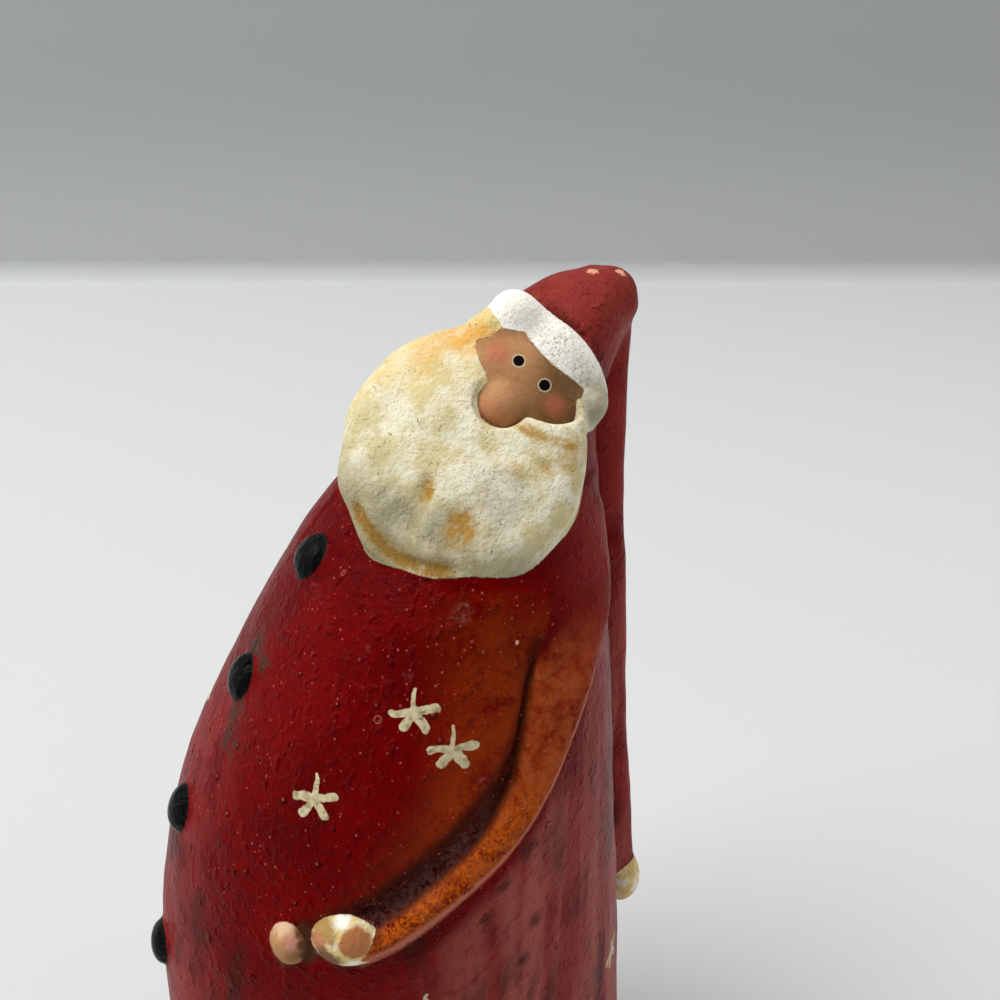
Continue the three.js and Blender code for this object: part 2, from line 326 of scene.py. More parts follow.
def beard_surface(rows=90, sides=160):
    """A ball that is flattened in front, drawn out behind, and waved along its lower rim."""
    down = np.linspace(0.01, math.pi - 0.01, rows)[:, None]
    around = np.linspace(0, 2 * math.pi, sides, endpoint=False)[None]
    low = (1 + np.cos(around)) / 2
    wave = BEARD_WAVE * low * np.sin(down) * np.cos(BEARD_WAVES * around)
    reach = BEARD_RADIUS * (1 + wave + BEARD_STRETCH * np.cos(2 * (around - BEARD_STRETCH_TURN)))
    across = reach * np.sin(down) * np.sin(around)
    up = -reach * np.sin(down) * np.cos(around)
    out = np.cos(down)
    out = np.where(out > 0, BEARD_FRONT * np.abs(out) ** BEARD_FLATNESS, BEARD_BACK * out)
    shape = np.stack([across, up, np.broadcast_to(out, across.shape)], -1)
    return loft(placed(shape, BEARD_CENTRE, BEARD_AXES))


# Distance fields


@dataclass
class Form:
    """A form's distance field on the part of the grid that it fills, and the paint it is covered with."""

    paint: str
    low: np.ndarray
    field: np.ndarray
    part: str = ""

    @property
    def window(self):
        """Where the form lies in the whole field."""
        start = self.low - GRID_LOW
        return tuple(slice(a, a + n) for a, n in zip(start, self.field.shape))

    def at(self, points):
        """Distances at points, evened out between the grid's own."""
        places = points / STEP - self.low
        inside = np.all((places >= 0) & (places < np.array(self.field.shape) - 1.001), axis=1)
        result = np.full(len(points), BAND)
        cell = places[inside].astype(int)
        t = places[inside] - cell
        total = np.zeros(len(cell))
        for corner in np.ndindex(2, 2, 2):
            weight = np.prod(np.where(corner, t, 1 - t), axis=1)
            total += weight * self.field[tuple((cell + corner).T)]
        result[inside] = total
        return result


def grid_box(low, high):
    """The grid's own numbers of the lowest and highest corner of a box with room for the band round it."""
    return np.floor((low - BAND) / STEP).astype(int), np.ceil((high + BAND) / STEP).astype(int)


FIGURE_LOW, FIGURE_HIGH = (np.array(corner) / MM for corner in cad_box)
GRID_LOW, GRID_HIGH = grid_box(FIGURE_LOW, FIGURE_HIGH)


def kept_box(low, high):
    """The same as grid_box, for the part of the box that lies in the whole grid."""
    low, high = grid_box(low, high)
    return np.maximum(low, GRID_LOW), np.minimum(high, GRID_HIGH)


def grid_points(low, high):
    """The points of the grid from one corner to another, both given by the grid's own numbers."""
    ticks = [np.arange(a, b + 1) * STEP for a, b in zip(low, high)]
    return np.stack(np.meshgrid(*ticks, indexing="ij"), -1)


def form_of(surface, paint):
    """The field of a closed surface."""
    points, quads, triangles = surface
    low, high = kept_box(points.min(0), points.max(0))
    grid = openvdb.FloatGrid.createLevelSetFromPolygons(
        np.ascontiguousarray(points, np.float32),
        triangles=np.ascontiguousarray(triangles, np.uint32),
        quads=np.ascontiguousarray(quads, np.uint32),
        transform=openvdb.createLinearTransform(voxelSize=STEP),
        halfWidth=BAND / STEP,
    )
    field = np.empty(high - low + 1, np.float32)
    grid.copyToArray(field, ijk=tuple(int(i) for i in low))
    return Form(paint, low, field)


def ellipsoid(radii, centre, axes, paint):
    """The field of an ellipsoid, true near its surface."""
    radii = np.asarray(radii, float)
    reach = np.full(3, radii.max())
    low, high = kept_box(np.array(centre) - reach, np.array(centre) + reach)
    local = seen_from(grid_points(low, high), centre, axes)
    near = np.linalg.norm(local / radii, axis=-1)
    slope = np.linalg.norm(local / radii**2, axis=-1)
    field = near * (near - 1) / np.maximum(slope, 1e-6)
    return Form(paint, low, np.clip(field, -BAND, BAND).astype(np.float32))


def ball(radius, centre, paint):
    return ellipsoid((radius,) * 3, centre, UPRIGHT, paint)


def melt(field, other, softness):
    """The union of two fields, with the crease between them filled over about the softness."""
    share = np.clip(0.5 + 0.5 * (field - other) / softness, 0, 1)
    return field + (other - field) * share - softness * share * (1 - share)


def add(whole, form, softness):
    """Melts a form into the whole field in place."""
    whole[form.window] = melt(whole[form.window], form.field, softness)


def cut(whole, form, softness):
    """Cuts a form out of the whole field in place."""
    whole[form.window] = -melt(-whole[form.window], form.field, softness)


def front_point(height):
    """The point where the robe's front line reaches a height, and the way the robe faces there."""
    line = catmull_rom([(0, *ends) for _, ends, _ in ROBE_SECTIONS], 4000)
    place = int(np.argmin(np.abs(line[:, 2] - height)))
    along = line[place + 1] - line[place - 1]
    return line[place], unit(np.array([0, -along[2], along[1]]))


def button_form(height):
    point, facing = front_point(height)
    across = np.array([1.0, 0, 0])
    axes = np.array([across, np.cross(facing, across), facing])
    return ellipsoid((BUTTON_RADIUS, BUTTON_RADIUS, BUTTON_RISE), point, axes, "button")


def brim_form():
    """The brim's ring, cut off square behind the head."""
    brim = form_of(brim_surface(), "fur")
    points = grid_points(brim.low, brim.low + np.array(brim.field.shape) - 1)
    out = seen_from(points, BRIM_CENTRE, BRIM_AXES)[..., 2]
    brim.field = np.clip(np.maximum(brim.field, -BRIM_BEHIND - out), -BAND, BAND).astype(np.float32)
    return brim


def mirrored(point, side):
    return np.array(point, float) * (side, 1, 1)


def on_face(place, radii, paint):
    """An ellipsoid that is placed across, up and out from the face's centre."""
    return ellipsoid(radii, placed(np.array(place, float), FACE_CENTRE, FACE_AXES), FACE_AXES, paint)


def figure_forms():
    """The whole field, and every form in it with its paint."""
    robe = form_of(robe_surface(), "cloth")
    whole = np.full(GRID_HIGH - GRID_LOW + 1, BAND, np.float32)
    whole[robe.window] = robe.field
    forms = [robe]

    def put(form, softness):
        add(whole, form, softness)
        forms.append(form)

    put(ball(TIP_RADIUS, TIP_CENTRE, "cloth"), 3)
    put(form_of(hat_surface(), "cloth"), 2.5)
    put(form_of(tail_surface(), "cloth"), 1.2)
    for side in (1, -1):
        sleeve = form_of(sleeve_surface(side), "cloth")
        z = (np.arange(sleeve.field.shape[2]) + sleeve.low[2]) * STEP
        sleeve.part = "sleeve"
        put(sleeve, 1.0 + 5 * smoothstep(z, 146, 168))
        cut(whole, form_of(groove_surface(side), "none"), 1.2)
        put(ellipsoid(CUFF_RADII, mirrored(CUFF_CENTRE, side), about_vertical(side * CUFF_YAW), "fur"), 0.8)
        put(ellipsoid(HAND_RADII, mirrored(HAND_CENTRE, side), about_vertical(side * HAND_YAW), "skin"), 0.8)
    beard = form_of(beard_surface(), "beard")
    kept = np.full_like(whole, BAND)
    kept[beard.window] = beard.field
    for place, radii in (EYES_POCKET, NOSE_POCKET):
        cut(kept, on_face(place, radii, "none"), POCKET_SOFTNESS)
    beard.field = kept[beard.window].copy()
    put(beard, 0.8)
    put(brim_form(), 1.0)
    put(on_face((0, 0, 0), FACE_RADII, "skin"), 1.0)
    put(on_face(*NOSE, "skin"), 0.7)
    for side in (1, -1):
        put(on_face(mirrored(CHEEK[0], side), CHEEK[1], "skin"), 2.5)
    for lock, paint in zip(LOCKS, ("beard", "fur")):
        put(on_face(*lock, paint), 2.8)
    put(on_face(*TUFT, "fur"), 2.5)
    put(ellipsoid(POMPOM_RADII, POMPOM_CENTRE, UPRIGHT, "fur"), 1.0)
    for height in BUTTON_HEIGHTS:
        put(button_form(height), 0.8)
    return whole, forms


def softened(field):
    """The field evened out over its neighbours, which rounds edges by a fraction of a step."""
    for axis in range(3):
        rows = np.moveaxis(field.copy(), axis, 0)
        rows[1:-1] = (rows[:-2] + 2 * rows[1:-1] + rows[2:]) / 4
        field = np.moveaxis(rows, 0, axis)
    return field


def skin_mesh(whole):
    """The zero surface of the field as a mesh of at most the budgeted triangles, in millimetres."""
    grid = openvdb.FloatGrid(BAND)
    grid.transform = openvdb.createLinearTransform(voxelSize=STEP)
    grid.copyFromArray(softened(whole), ijk=tuple(int(i) for i in GRID_LOW))
    points, triangles, quads = grid.convertToPolygons(isovalue=0, adaptivity=0)
    dense = bpy.data.meshes.new("dense_skin")
    dense.from_pydata(points.tolist(), [], quads.tolist() + triangles.tolist())
    carrier = bpy.data.objects.new("dense_skin", dense)
    bpy.context.scene.collection.objects.link(carrier)
    thinning = carrier.modifiers.new("thinning", "DECIMATE")
    thinning.ratio = min(1, SKIN_TRIANGLES / (2 * len(quads) + len(triangles)))
    thinning.use_collapse_triangulate = True
    evaluated = carrier.evaluated_get(bpy.context.evaluated_depsgraph_get())
    mesh = bpy.data.meshes.new_from_object(evaluated)
    bpy.data.objects.remove(carrier)
    bpy.data.meshes.remove(dense)
    return mesh


def points_of(mesh):
    points = np.empty(len(mesh.vertices) * 3, np.float32)
    mesh.vertices.foreach_get("co", points)
    return points.reshape(-1, 3).astype(float)


def normals_of(mesh):
    normals = np.empty(len(mesh.vertices) * 3, np.float32)
    mesh.vertex_normals.foreach_get("vector", normals)
    return normals.reshape(-1, 3).astype(float)


def set_points(mesh, points):
    mesh.vertices.foreach_set("co", points.astype(np.float32).ravel())
    mesh.update()


# What the paint needs to know of each point


def paint_margins(points, forms):
    """For each paint, how much nearer each point is to the forms that have it than to the others."""
    nearest = {}
    for form in forms:
        reach = form.at(points)
        nearest[form.paint] = np.minimum(nearest.get(form.paint, BAND), reach)
    margins = {}
    for paint, own in nearest.items():
        others = np.min([reach for other, reach in nearest.items() if other != paint], axis=0)
        margins[paint] = others - own
    return margins


def neighbours_mean(mesh, values, rounds=1):
    """Values at the vertices, evened out over each vertex's neighbours."""
    edges = np.empty(len(mesh.edges) * 2, np.int32)
    mesh.edges.foreach_get("vertices", edges)
    a, b = edges.reshape(-1, 2).T
    count = len(mesh.vertices)
    share = np.bincount(a, minlength=count) + np.bincount(b, minlength=count)
    values = values.reshape(count, -1)
    for _ in range(rounds):
        columns = []
        for column in values.T:
            total = np.bincount(a, column[b], count) + np.bincount(b, column[a], count)
            columns.append(total / share)
        values = np.stack(columns, 1)
    return values.squeeze()


def hollowness(mesh, points, normals):
    """How hollow the surface is at each vertex: over 0 in creases, 1 in sharp ones, below 0 on ridges."""
    spread = neighbours_mean(mesh, points) - points
    lift = np.sum(spread * normals, axis=1)
    return neighbours_mean(mesh, lift, 2) / SHARP_CREASE


def store(mesh, name, values):
    """Keeps numbers or vectors at the vertices, for the material to read."""
    kind = "FLOAT" if values.ndim == 1 else "FLOAT_VECTOR"
    layer = mesh.attributes.new(name, kind, "POINT")
    layer.data.foreach_set("value" if values.ndim == 1 else "vector", values.astype(np.float32).ravel())


def sleeve_places(points):
    """Each point's place by the sleeve on its own side, and how far it is from the sleeve's middle line.

    The place is from 0 at the shoulder to 1 at the wrist, then the millimetres past the sleeve's edge towards
    the belly, then those past its other edge.
    """
    line, half_width, _, inwards = sleeve_course()
    folded = np.stack([np.abs(points[:, 0]), points[:, 1], points[:, 2]], 1)
    reach = np.linalg.norm(folded[:, None] - line[None], axis=2)
    nearest = np.argmin(reach, axis=1)
    beside = np.sum((folded - line[nearest]) * inwards[nearest], axis=1)
    half = half_width[nearest, 0]
    return np.stack([nearest / (len(line) - 1), beside - half, -beside - half], 1), reach.min(1)


# Dents and lumps on the beard: place across and up, half sizes, turn, and depth, below 0 for a lump.
BEARD_DENTS = [
    ((2.3, -7.9), (1.9, 3.2), 0.48, 0.8),
    ((10.4, -8.6), (4.4, 4.6), 0.3, 0.9),
    ((1.9, -15.1), (4.6, 5.4), 0.2, 0.9),
    ((14, 7.9), (2.2, 1.4), 0.0, 0.35),
    ((10.9, 4.1), (2.2, 1.7), 0.0, -0.3),
    ((-3.2, -13.2), (1.2, 3.4), -0.2, 0.35),
    ((-6, 3), (7, 5), 0.4, -0.5),
    ((6, -2), (6, 4), -0.3, -0.4),
    ((-12, -4), (4, 6), 0.1, 0.4),
    ((16, -3), (3, 5), 0.2, 0.4),
    ((-5.5, -9.5), (4.5, 3.5), 0.3, 0.45),
    ((5, 3.5), (3, 3.5), 0.5, 0.35),
    ((-2, 8), (5, 3), 0.6, 0.35),
    ((5.8, -12.5), (1.8, 4), 0.2, -0.45),
]
CRESCENT_HALF_ANGLE = math.radians(38)
CRESCENT_TURN = math.radians(12)


def crescent(local):
    """How deep a point lies in the hollow inside the beard's lower rim, and how far on the lip round it."""
    around = np.arctan2(local[:, 0], -local[:, 1])
    rim = BEARD_RADIUS * (1 + BEARD_STRETCH * np.cos(2 * (around - BEARD_STRETCH_TURN)))
    reach = np.hypot(local[:, 0], local[:, 1]) / rim
    angle = around - CRESCENT_TURN
    part = 1 - smoothstep(np.abs(angle), CRESCENT_HALF_ANGLE * 0.7, CRESCENT_HALF_ANGLE)
    hollow = smoothstep(reach, 0.8, 0.9) * (1 - smoothstep(reach, 0.93, 0.965))
    return part * hollow, part * smoothstep(reach, 0.93, 0.98)


def modelled(points, normals, margins):
    """Points moved by the dents and lumps of the beard, in millimetres."""
    local = seen_from(points, BEARD_CENTRE, BEARD_AXES)
    depth = np.zeros(len(points))
    for (across, up), (half_across, half_up), turn, deep in BEARD_DENTS:
        x, y = local[:, 0] - across, local[:, 1] - up
        u = (x * math.cos(turn) + y * math.sin(turn)) / half_across
        v = (y * math.cos(turn) - x * math.sin(turn)) / half_up
        depth += deep * (1 - smoothstep(np.hypot(u, v), 0.15, 1.2))
    inner, lip = crescent(local)
    depth += 0.7 * inner - 0.2 * lip
    return points - normals * (depth * smoothstep(margins["beard"], 0, 1))[:, None]


# Stars: how far round from the front, how high and how much tilted, in degrees, millimetres and degrees.
STARS = [
    (65.4, 151.9, -6),
    (76, 146.1, 2),
    (42.5, 136.8, -10),
    (66, 96.3, 10),
    (88, 74, 20),
    (28, 74, -16),
    (64, 52, 6),
    (108, 46, 28),
    (-24, 132, 10),
    (-62, 150, -8),
    (-72, 138, 16),
    (-44, 98, -12),
    (-84, 84, 8),
    (-20, 40, 18),
    (-70, 44, -20),
    (-118, 100, 12),
    (143, 70, -10),
    (-150, 88, 15),
    (-128, 38, -14),
    (142, 24, 10),
    (20, 24, 9),
]
STAR_RADIUS = 4.1
STAR_NEAR = 1.15


def star_places(points, normals, stars):
    """Each point's place across and up on the nearest star, in star radii, and 1 near it or 0 far off."""
    best = np.full(len(points), 1e9)
    places = np.zeros((len(points), 3))
    for turn, height, tilt in stars:
        way = np.array([math.sin(math.radians(turn)), -math.cos(math.radians(turn)), 0])
        beside = np.array([-way[1], way[0], 0])
        miss = np.abs(points @ beside) + np.abs(points[:, 2] - height) + 1e3 * (points @ way < 0)
        spot = int(np.argmin(miss))
        centre, facing = points[spot], normals[spot]
        up = unit(np.array([0, 0, 1]) - facing * facing[2])
        across = np.cross(up, facing)
        lean = math.radians(tilt)
        own_up = up * math.cos(lean) + across * math.sin(lean)
        axes = np.array([np.cross(own_up, facing), own_up, facing])
        local = seen_from(points, centre, axes) / STAR_RADIUS
        reach = np.linalg.norm(local, axis=1)
        nearer = reach < best
        best[nearer] = reach[nearer]
        near = 1 - smoothstep(reach, STAR_NEAR, STAR_NEAR + 0.3)
        places[nearer] = np.stack([local[:, 0], local[:, 1], near], 1)[nearer]
    return places


def roughened(points, normals):
    """Points moved by the slow unevenness of hand work, in millimetres."""
    offsets = np.array([
        0.22 * noise.noise(Vector(p) / 11) + 0.1 * noise.noise(Vector(p) / 4.5 + Vector((9, 2, 5)))
        for p in points
    ])
    return points + normals * offsets[:, None]


def make_skin():
    whole, forms = figure_forms()
    mesh = skin_mesh(whole)
    points, normals = points_of(mesh), normals_of(mesh)
    margins = paint_margins(points, forms)
    for name, margin in margins.items():
        store(mesh, name, margin)
    store(mesh, "hollow", hollowness(mesh, points, normals))
    by_sleeve, from_sleeve = sleeve_places(points)
    store(mesh, "sleeve_place", by_sleeve)
    store(mesh, "sleeve_reach", from_sleeve)
    store(mesh, "sleeve", np.minimum(*(form.at(points) for form in forms if form.part == "sleeve")))
    store(mesh, "crescent", crescent(seen_from(points, BEARD_CENTRE, BEARD_AXES))[0])
    for rank in (0, 1):
        store(mesh, f"star_{rank}", star_places(points, normals, STARS[rank::2]))
    store(mesh, "face_place", seen_from(points, FACE_CENTRE, FACE_AXES))
    store(mesh, "beard_place", seen_from(points, BEARD_CENTRE, BEARD_AXES))
    points = modelled(points, normals, margins)
    points = roughened(points, normals)
    points = np.clip(points, FIGURE_LOW, FIGURE_HIGH)
    set_points(mesh, points * MM)
    mesh.polygons.foreach_set("use_smooth", np.ones(len(mesh.polygons), bool))
    mesh.materials.append(painted_casting())
    skin = bpy.data.objects.new("figurine_skin", mesh)
    bpy.context.scene.collection.objects.link(skin)
    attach(skin, "root")
    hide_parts("santa_figurine")


# Materials


def colour(red, green, blue):
    """A colour given as in a picture, from 0 to 255, as the shader's own numbers."""
    shares = np.array([red, green, blue]) / 255
    parts = np.where(shares <= 0.04045, shares / 12.92, ((shares + 0.055) / 1.055) ** 2.4)
    return (*parts.tolist(), 1)


class Graph:
    """A material's nodes, with one short call for each kind, each giving an output socket."""

    def __init__(self, name):
        self.material = bpy.data.materials.new(name)
        self.material.use_nodes = True
        self.tree = self.material.node_tree
        self.tree.nodes.clear()

    def node(self, kind, inputs=None, **settings):
        node = self.tree.nodes.new("ShaderNode" + kind)
        for name, value in settings.items():
            setattr(node, name, value)
        for key, value in (inputs or {}).items():
            if isinstance(value, bpy.types.NodeSocket):
                self.tree.links.new(value, node.inputs[key])
            else:
                node.inputs[key].default_value = value
        return node

    def math(self, operation, *values):
        return self.node("Math", dict(enumerate(values)), operation=operation).outputs[0]

    def chain(self, operation, total, *others):
        """An operation on the first two values, then on its result and the next, and so on."""
        for other in others:
            total = self.math(operation, total, other)
        return total

    def add(self, *values):
        return self.chain("ADD", *values)

    def less(self, a, b):
        return self.math("SUBTRACT", a, b)

    def times(self, *values):
        return self.chain("MULTIPLY", *values)

    def most(self, *values):
        return self.chain("MAXIMUM", *values)

    def least(self, *values):
        return self.chain("MINIMUM", *values)

    def absolute(self, value):
        return self.math("ABSOLUTE", value)

    def length(self, a, b):
        """The long side of a right angle with two given sides."""
        return self.math("SQRT", self.add(self.times(a, a), self.times(b, b)))

    def distance(self, place, centre):
        return self.node("VectorMath", {0: place, 1: centre}, operation="DISTANCE").outputs["Value"]

    def step(self, value, low, high):
        """0 before low and 1 after high, smooth between, or the other way round if low is above high."""
        inputs = {0: value, 1: low, 2: high}
        return self.node("MapRange", inputs, interpolation_type="SMOOTHSTEP").outputs[0]

    def over(self, base, tint, *shares):
        """A base covered by a tint, as much as the product of the shares says."""
        inputs = {0: self.times(*shares), 6: base, 7: tint}
        return self.node("Mix", inputs, data_type="RGBA").outputs[2]

    def attribute(self, name):
        return self.node("Attribute", attribute_name=name).outputs["Fac"]

    def split(self, vector):
        return self.node("SeparateXYZ", {0: vector}).outputs[:3]

    def places(self, name):
        """The three numbers of a vector that is kept at the vertices."""
        return self.split(self.node("Attribute", attribute_name=name).outputs["Vector"])

    def noise(self, place, size, detail=2.0, rough=0.5, distortion=0.0):
        inputs = {0: place, "Scale": 1 / size, "Detail": detail, "Roughness": rough, "Distortion": distortion}
        return self.node("TexNoise", inputs).outputs["Fac"]

    def cloudy(self, place, low, high, *noise_settings):
        """Noise as a share: 0 where it is below low and 1 where it is above high."""
        return self.step(self.noise(place, *noise_settings), low, high)

    def stretched(self, place, scale, turn=(0, 0, 0)):
        return self.node("Mapping", {0: place, "Rotation": turn, "Scale": scale}).outputs[0]

    def spots(self, place, size, radius, share):
        """Round spots in a random share of cells: 1 in the middle of a spot and 0 past its radius."""
        cells = self.node("TexVoronoi", {0: place, "Scale": 1 / size})
        reach = self.times(cells.outputs["Distance"], size)
        chosen = self.node("SeparateColor", {0: cells.outputs["Color"]})
        wanted = self.math("LESS_THAN", chosen.outputs[0], share)
        own_radius = self.times(self.add(0.45, chosen.outputs[1]), radius)
        near = self.less(1, self.math("DIVIDE", reach, own_radius))
        return self.times(self.step(near, 0, 0.8), wanted)

    def blotch(self, across, up, centre, radii, angle=0.0):
        """1 at the centre of an oval in two coordinates and 0 at its edge."""
        x = self.less(across, centre[0])
        y = self.less(up, centre[1])
        c, s = math.cos(angle), math.sin(angle)
        u = self.math("DIVIDE", self.add(self.times(x, c), self.times(y, s)), radii[0])
        v = self.math("DIVIDE", self.less(self.times(y, c), self.times(x, s)), radii[1])
        return self.step(self.length(u, v), 1, 0.3)

    def patches(self, place, spots, ragged, size=0.9, soft=0.4):
        """1 inside round patches at listed points, with more or less soft edges that noise makes ragged."""
        edge = self.times(self.less(self.noise(place, size, 2, 0.6), 0.5), ragged)
        reaches = [self.times(self.distance(place, centre), 1 / radius) for centre, radius in spots]
        return self.step(self.add(self.least(*reaches), edge), 1, 1 - soft)

    def marked(self, place, base, marks, *shares):
        """A base with marks: each has its points, ragged, size and soft, then its strength and its tint."""
        for spots, ragged, size, soft, strength, tint in marks:
            base = self.over(base, tint, self.patches(place, spots, ragged, size, soft), strength, *shares)
        return base

    def bump(self, height):
        """The surface's way of facing once it has a height in millimetres."""
        return self.node("Bump", {"Strength": 1.0, "Distance": MM, "Height": height}).outputs[0]

    def finish(self, inputs):
        shader = self.node("BsdfPrincipled", inputs)
        self.node("OutputMaterial", {0: shader.outputs[0]})
        return self.material


def figure_place(g):
    """The point on the figure, in millimetres."""
    place = g.node("TexCoord").outputs["Object"]
    return g.node("VectorMath", {0: place, "Scale": 1 / MM}, operation="SCALE").outputs[0]


CRIMSON = colour(110, 0, 1)
DEEP_CRIMSON = colour(84, 0, 1)
ROSE_WEAR_AND_SHEEN = colour(136, 42, 40)
MAUVE_DUST_AND_SHEEN = colour(160, 84, 76)
ORANGE = colour(150, 56, 10)
SCUFFED = colour(166, 80, 40)
RUST = colour(104, 26, 6)
AMBER = colour(192, 90, 6)
DUST = colour(140, 84, 74)
BROWN = colour(46, 20, 12)
GROOVE_BROWN = colour(48, 12, 5)
DUSK = colour(106, 66, 60)
SLEEVE_EDGE_HIGHLIGHT = colour(184, 110, 90)
GLAZE = colour(66, 18, 12)
HAT_BROWN_AND_SHEEN = colour(144, 62, 48)
PINK_WEAR_AND_GLINT = colour(196, 96, 90)
CHIP = colour(222, 158, 130)
STAIN = colour(62, 42, 32)

# Marks on the cloth: the point in millimetres and the radius.
CHIPS = [
    ((1.8, 32.1, 211.7), 1.4),
    ((2.4, 37.6, 211.2), 1.2),
    ((4.9, 38.6, 206.7), 0.7),
    ((37.1, 2.7, 149.4), 0.4),
    ((34, 2.7, 160.9), 0.45),
]
STAINS = [
    ((-1, -32.8, 149), 4.5),
    ((5, -33, 149.5), 2.5),
    ((3.7, -38.5, 139.5), 4),
    ((6, -38.9, 135.5), 4),
    ((-14, -30, 146), 3.5),
    ((-20, -46, 118), 4),
]
SMEARS = [
    ((30.5, -14.6, 157.2), 1.4),
    ((30.2, -4.9, 165.7), 2.2),
    ((39.4, -5.4, 139.7), 1.1),
    ((24, -20, 160), 1.6),
]
DARK_PATCHES = [
    ((39.7, 3.1, 122.9), 3),
    ((40.9, -6, 112), 2.5),
    ((38.9, 12, 118), 2.5),
    ((39.3, 4.4, 105.5), 2.2),
    ((40.2, 1.4, 97.9), 3.2),
    ((40.9, -2.3, 117.9), 2),
    ((30.1, 2.8, 169.7), 1.5),
    ((22, -30, 100), 4),
    ((-30, 20, 120), 5),
]
# Small rings where bubbles in the casting have burst: the middle, the ring's radius and half its width.
BUBBLES = [
    ((30.1, -19.7, 149.9), 0.6, 0.3),
    ((11.4, -18.7, 166.9), 0.6, 0.25),
    ((-24, -34, 128), 0.8, 0.3),
]


def bubble_rings(g, place):
    """1 on the raised rims of the burst bubbles."""
    gaps = []
    for centre, radius, half in BUBBLES:
        gap = g.absolute(g.less(g.distance(place, centre), radius))
        gaps.append(g.times(gap, 1 / half))
    return g.step(g.least(*gaps), 1, 0)


def cloth_paint(g, place, hollow):
    """Satin crimson over terracotta, washed orange by the sleeves, antiqued brown in the creases, with
    painted sheen on the back, the skirt and the hat, and a painted highlight along each sleeve's outer edge.
    """
    x, y, z = g.split(place)
    fine = g.noise(place, 1.1, 3, 0.65, 1.2)
    uneven = g.add(g.times(g.noise(place, 22, 3), 0.6), g.times(g.noise(place, 1.6, 3, 0.7), 0.4))
    base = g.over(DEEP_CRIMSON, CRIMSON, g.step(uneven, 0.38, 0.62))
    rubbed = g.times(g.step(g.add(y, g.times(g.absolute(x), 0.9)), -22, -44), g.step(z, 172, 150))
    base = g.over(base, ROSE_WEAR_AND_SHEEN, rubbed, g.cloudy(place, 0.3, 0.6, 5, 3, 0.65), 0.55)
    base = dusted_with_sheen(g, place, base)
    base = washed(g, place, base, fine)
    base = g.over(base, BROWN, g.step(hollow, 0.2, 1.1))
    base = grooved(g, place, base, fine)
    base = g.over(base, DUST, g.step(hollow, -0.35, -1), g.cloudy(place, 0.35, 0.65, 0.9, 2))
    stains = g.times(g.patches(place, STAINS, 2.4, 1.5, 0.6), g.cloudy(place, 0.32, 0.52, 0.8, 2, 0.75))
    base = g.over(base, STAIN, stains, 0.95)
    base = g.over(base, DUST, g.patches(place, SMEARS, 1.8, 1.5, 0.9), g.step(fine, 0.35, 0.6), 0.4)
    base = g.over(base, BROWN, g.patches(place, DARK_PATCHES, 1.8, 3, 0.9), 0.75)
    # The hat's top lighter and browner: partly its tone, partly painted sheen.
    base = g.over(base, HAT_BROWN_AND_SHEEN, g.step(z, 192, 202), g.step(fine, 0.3, 0.7), 0.6)
    by_brim = g.times(g.step(g.attribute("fur"), -4, -0.4), g.step(z, 180, 190))
    base = g.over(base, GLAZE, by_brim, g.cloudy(place, 0.35, 0.6, 3, 3, 0.65), 0.75)
    base = g.over(base, PINK_WEAR_AND_GLINT, bubble_rings(g, place), 0.5)
    return g.over(base, CHIP, g.patches(place, CHIPS, 1.4))


def dusted_with_sheen(g, place, base):
    """The base rubbed rose on the back and the skirt, with mauve bands and brown streaks down the skirt; the
    rose and mauve there are partly dust, partly painted sheen.
    """
    _, y, z = g.split(place)
    inner = g.places("sleeve_place")[1]
    below = g.times(g.step(z, 150, 118), g.step(inner, -8, -12), g.step(y, -32, 2))
    dust_and_sheen = g.most(g.times(below, 0.9), g.times(g.step(y, 6, 28), 0.9), g.times(g.step(z, 112, 70), 0.5))
    # Rose on the back, the skirt and the low robe: partly dust, partly painted sheen.
    base = g.over(base, ROSE_WEAR_AND_SHEEN, dust_and_sheen, g.cloudy(place, 0.25, 0.6, 14, 3))
    bands = g.cloudy(g.stretched(place, (1, 1, 0.12)), 0.45, 0.62, 9, 3)
    # Mauve bands below the sleeve: partly dust, partly painted sheen.
    base = g.over(base, MAUVE_DUST_AND_SHEEN, bands, below, g.cloudy(place, 0.15, 0.55, 2.5, 3, 0.7), 0.8)
    streaks = g.cloudy(g.stretched(place, (1, 1, 0.3)), 0.48, 0.7, 8, 3, 0.6)
    return g.over(base, BROWN, streaks, g.step(z, 150, 110), 0.65)


def washed(g, place, base, fine):
    """The base washed orange on the sleeves and the belly beside them, and brushed amber down the sleeves."""
    along, inner, outer = g.places("sleeve_place")
    on_sleeve = g.times(g.step(g.attribute("sleeve"), 1.3, 0.3), g.step(inner, 0.6, -0.4))
    breadth = g.less(36, g.times(along, 24))
    near = g.step(g.math("DIVIDE", g.attribute("sleeve_reach"), breadth), 1, 0.5)
    beside = g.times(g.step(inner, 25, 4), g.step(inner, -1, 0), near)
    wash = g.most(g.times(on_sleeve, g.step(along, 0.05, 0.3)), g.times(beside, g.step(along, 0.1, 0.3)))
    ragged = g.add(g.noise(place, 6, 3), g.times(g.less(fine, 0.5), 0.9))
    strength = g.add(0.62, g.times(g.step(along, 0.3, 0.65), 0.26))
    tint = g.over(ORANGE, RUST, g.step(along, 0.55, 0.85))
    base = g.over(base, tint, wash, g.step(ragged, 0.1, 0.6), strength)
    scuffs = g.times(g.step(along, 0.12, 0.3), g.cloudy(place, 0.3, 0.7, 3, 3, 0.65))
    base = g.over(base, SCUFFED, on_sleeve, scuffs, 0.75)
    to_edge = g.step(g.add(outer, g.times(g.step(along, 0.45, 0.7), 6)), -7, -2)
    return g.over(base, AMBER, on_sleeve, to_edge, g.step(along, 0.28, 0.6), g.step(fine, 0.42, 0.62), 0.75)


